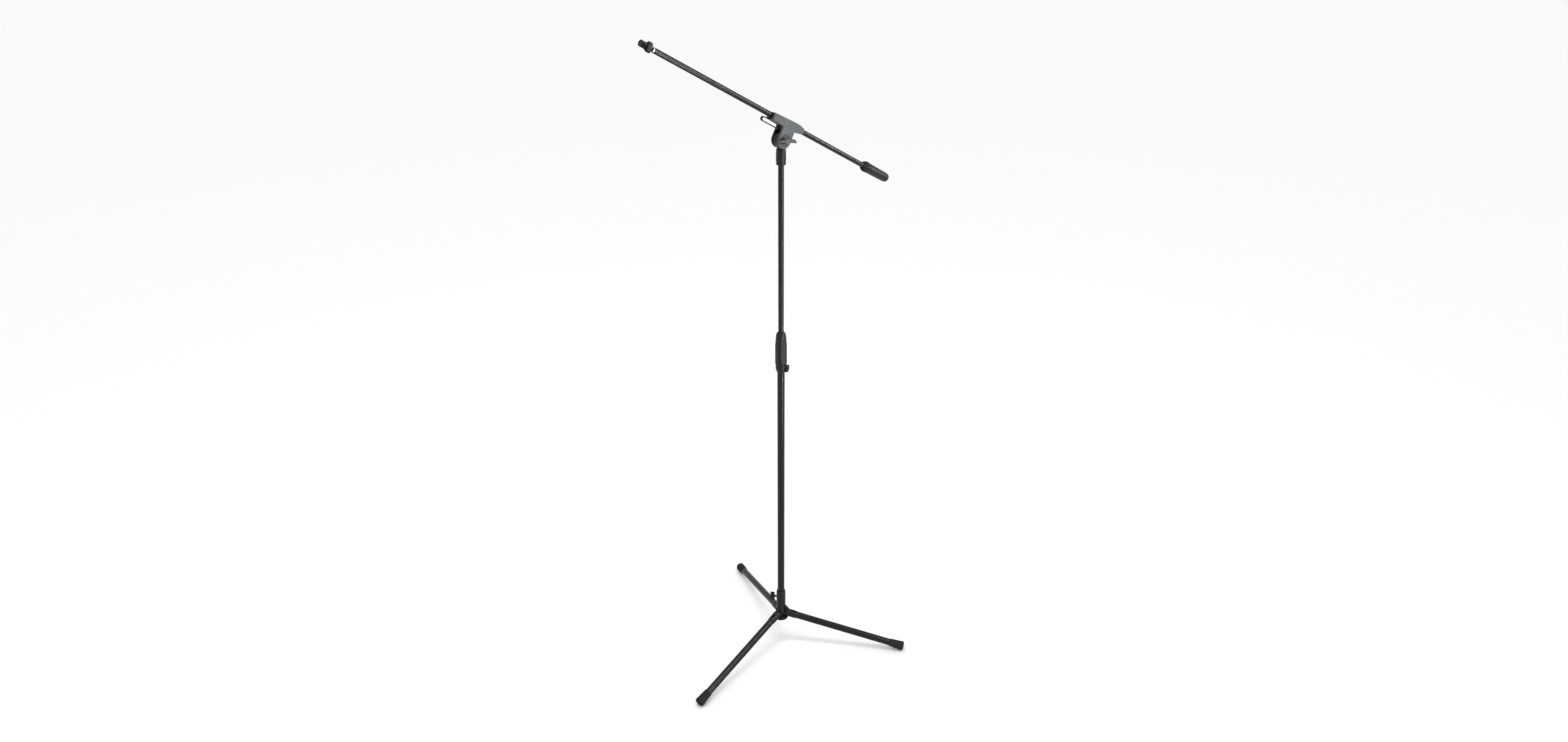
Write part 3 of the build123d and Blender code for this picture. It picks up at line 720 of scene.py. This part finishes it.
def hub_wing_nut():
    """The smaller wing on the base's set screw."""
    joint = joints["hub_wing_turn"]
    point = Vector(joint["pos_m"])
    axis = Vector(joint["axis"]).normalized()
    if axis.dot(Vector((point.x, point.y, 0))) < 0:
        axis = -axis
    start, end, span = reach("hub_wing", point, axis)
    place = placed(point + axis * start, axis, UP)
    half_width = (end - start) / 2
    depth = 2 * half_width / MM
    bore = 3.1 * MM
    hub = softened([
        (3.1, 0), (6.0, 0, 0.8), (5.8, depth * 0.7, 1.0), (5.0, depth - 0.1, 1.6), (3.1, depth - 0.1),
    ], 0.4)
    parts = [spun(divided(scaled(hub), 1.5 * MM), place, 64)]
    root = Matrix.Translation((bore + 0.6 * MM, 0, half_width))
    length = span * 0.98 - bore
    for half_turn in (0, pi):
        turned = place @ Matrix.Rotation(half_turn, 4, "Z") @ root
        parts.append(wing_blade(turned, length, half_width * 0.97, 2.7 * MM))
    vertices, faces = joined(*parts)
    melted("hub_wing_nut", vertices, faces, 0.45 * MM, 4, "hub_wing", "black_plastic", ("hub_wing",))


# ---------------------------------------------------------------- boom's front end
STUD_RADIUS = 4.7 * MM
STUD_PITCH = 1.5875 * MM     # 16 threads to the inch
BUSH_RADIUS = 7.94 * MM
BUSH_PITCH = 0.9407 * MM     # 27 threads to the inch


def threaded(major, depth, pitch, start, end):
    """A wave that cuts a screw thread, running out at both ends, into radii near the major one."""
    def wave(angle, radius, height):
        if abs(radius - major) > 0.05 * MM or not start < height < end:
            return radius
        phase = (height / pitch - angle / (2 * pi)) % 1.0
        flank = min(1.0, max(0.0, abs(2 * phase - 1) * 1.35 - 0.15))
        run_out = min(1.0, (height - start) / pitch, (end - height) / pitch)
        return radius - depth * (1 - flank) * run_out
    return wave


def end_stud():
    """Plug in the boom's front end: a bright flange and a threaded stud painted black, as painted shade for the
    bush's bore around its end.
    """
    start, end, _ = reach("boom_end_plug", boom_point, boom_axis)
    length = (end - start) / MM
    flange = 26.0            # mm from the plug's inner end
    outline = softened([
        (6.05, 0, 0.6), (6.05, flange), (7.1, flange), (7.85, flange + 0.4, 0.3), (7.85, flange + 2.8, 0.3),
        (7.4, flange + 3.2, 0.2), (4.7, flange + 3.2), (4.7, length - 0.9), (3.8, length),
    ], 0.2, closed=False)
    outline = [(0, 0)] + outline + [(0, length)]
    rings = divided(scaled(outline), 0.2 * MM)
    wave = threaded(STUD_RADIUS, 0.85 * MM, STUD_PITCH, (flange + 4) * MM, (length - 0.9) * MM)
    place = placed(boom_point + boom_axis * start, boom_axis, boom_up)
    vertices, faces = spun(rings, place, 48, wave)
    stud = add_piece("end_stud", vertices, faces, "boom", "plated_steel", ("boom_end_plug",), crease=30)
    # Past the flange the stud takes black steel: painted shade for the bush's bore where the stud's end shows.
    stud.data.materials.append(materials["black_steel"])
    painted_shade_from = start + (flange + 3.3) * MM
    for face in stud.data.polygons:
        if (face.center - boom_point).dot(boom_axis) > painted_shade_from:
            face.material_index = 1


def thread_bush():
    """The bush that carries the microphone thread."""
    start, end, _ = reach("thread_adapter", boom_point, boom_axis)
    length = (end - start) / MM
    outline = softened([
        (4.75, 0, 0.3), (7.4, 0), (7.94, 0.6), (7.94, length - 0.9), (7.2, length - 0.1, 0.1),
        (6.4, length - 0.1, 0.2), (6.0, length - 0.9, 0.2), (4.75, length - 0.9, 0.3),
    ], 0.1)
    rings = divided(scaled(outline), 0.12 * MM)
    wave = threaded(BUSH_RADIUS, 0.55 * MM, BUSH_PITCH, 0.5 * MM, (length - 0.8) * MM)
    place = placed(boom_point + boom_axis * start, boom_axis, boom_up)
    vertices, faces = spun(rings, place, 96, wave)
    add_piece("thread_bush", vertices, faces, "boom", "black_steel", ("thread_adapter",), crease=30)


LOBE_CREST = 13.7 * MM
LOBE_CENTRE = 8.2 * MM       # a lobe's centre from the knob's axis
LOBE_RADIUS = 5.5 * MM
KNOB_WAIST = 9.5 * MM
KNOB_BORE = 4.85 * MM


def lobed(angle, radius, height):
    """Turns a round knob into a three-lobed one, leaving its bore round."""
    part = (angle + pi / 3) % (2 * pi / 3) - pi / 3
    inside = LOBE_RADIUS ** 2 - (LOBE_CENTRE * sin(part)) ** 2
    crest = LOBE_CENTRE * cos(part) + sqrt(inside) if inside > 0 else 0.0
    blend = 0.9 * MM
    gap = crest - KNOB_WAIST
    edge = (crest + KNOB_WAIST + sqrt(gap * gap + blend * blend)) / 2
    edge = min(edge, LOBE_CREST)
    share = (radius - KNOB_BORE) / (LOBE_CREST - KNOB_BORE)
    return KNOB_BORE + max(0.0, share) * (edge - KNOB_BORE)


def lobed_knob():
    """The lock nut behind the microphone thread, with a dished face."""
    joint = joints["lock_ring_turn"]
    start, end, _ = reach("lock_ring", boom_point, boom_axis)
    length = (end - start) / MM
    towards = wing_direction("lock_ring", boom_point, boom_axis)
    outline = softened([
        (4.85, 0.6, 0.2), (6.6, 0.6, 0.3), (7.0, 0.05, 0.2), (12.6, 0.05, 1.0), (13.7, 1.3, 1.2),
        (13.7, length - 1.3, 1.2), (12.6, length - 0.05, 1.0), (8.2, length - 0.05, 0.4),
        (7.4, length - 0.9, 0.3), (4.85, length - 0.9, 0.2),
    ], 0.3)
    rings = divided(scaled(outline), 1.5 * MM)
    place = placed(boom_point + boom_axis * start, boom_axis, towards)
    vertices, faces = spun(rings, place, 144, lobed)
    add_piece("lobed_knob", vertices, faces, joint["child"], "black_plastic", ("lock_ring",), crease=45)


# ---------------------------------------------------------------- counterweight
def weight_shell():
    """The counterweight's moulded cover: a step at its mouth, a parting bead and a rounded end."""
    start, end, _ = reach("weight_cover", boom_point, boom_axis)
    length = (end - start) / MM
    outline = softened([
        (8, 3.2, 0.5), (11.6, 9.2, 0.8), (11.6, length, 0.1), (13.4, length, 0.4), (13.9, length - 0.8, 0.3),
        (13.9, length - 2.6, 0.3), (13.3, length - 3.2, 0.2), (13.3, length - 4.0, 0.2),
        (14.1, length - 4.7, 0.4), (14.15, length - 9, 2), (13.3, 12.5, 8), (11.7, 5.0, 3), (8.9, 1.5, 2),
        (5.2, 0.1, 1.2),
    ], 0.3, closed=False)
    outline = [(0, 3.2)] + outline + [(0, 0.1)]
    rings = divided(scaled(outline), 2.0 * MM)
    place = placed(boom_point + boom_axis * start, boom_axis, boom_up)
    vertices, faces = spun(rings, place, 120)
    add_piece("weight_shell", vertices, faces, "boom", "weight_plastic", ("weight_cover",), crease=40)


def weight_bell():
    """The rubber bell between the boom tube and the counterweight."""
    start, end, _ = reach("weight_collar", boom_point, boom_axis)
    length = (end - start) / MM
    outline = softened([
        (7.15, 0), (14.1, 0, 0.3), (14.95, 0.8, 0.4), (15.05, 3.4, 1), (14.7, 4.4, 0.5), (14.9, 5.2, 0.5),
        (14.7, 7.6, 2), (13.5, 11.4, 3), (11.5, 15.4, 3), (9.2, length - 0.4, 0.6), (8.4, length, 0.3),
        (7.15, length, 0.2),
    ], 0.3)
    rings = divided(scaled(outline), 1.5 * MM)
    place = placed(boom_point + boom_axis * start, boom_axis, boom_up)
    vertices, faces = spun(rings, place, 96)
    add_piece("weight_bell", vertices, faces, "boom", "rubber_black", ("weight_collar",), crease=40)


# ---------------------------------------------------------------- the scene
make_camera()
make_surround()
make_lights(make_floor())
dress_nodes()
make_castings()
grip_shell()
tilt_wing_nut()
hub_wing_nut()
end_stud()
thread_bush()
lobed_knob()
weight_shell()
weight_bell()
for leg_number in (1, 2, 3):
    rubber_foot(leg_number)
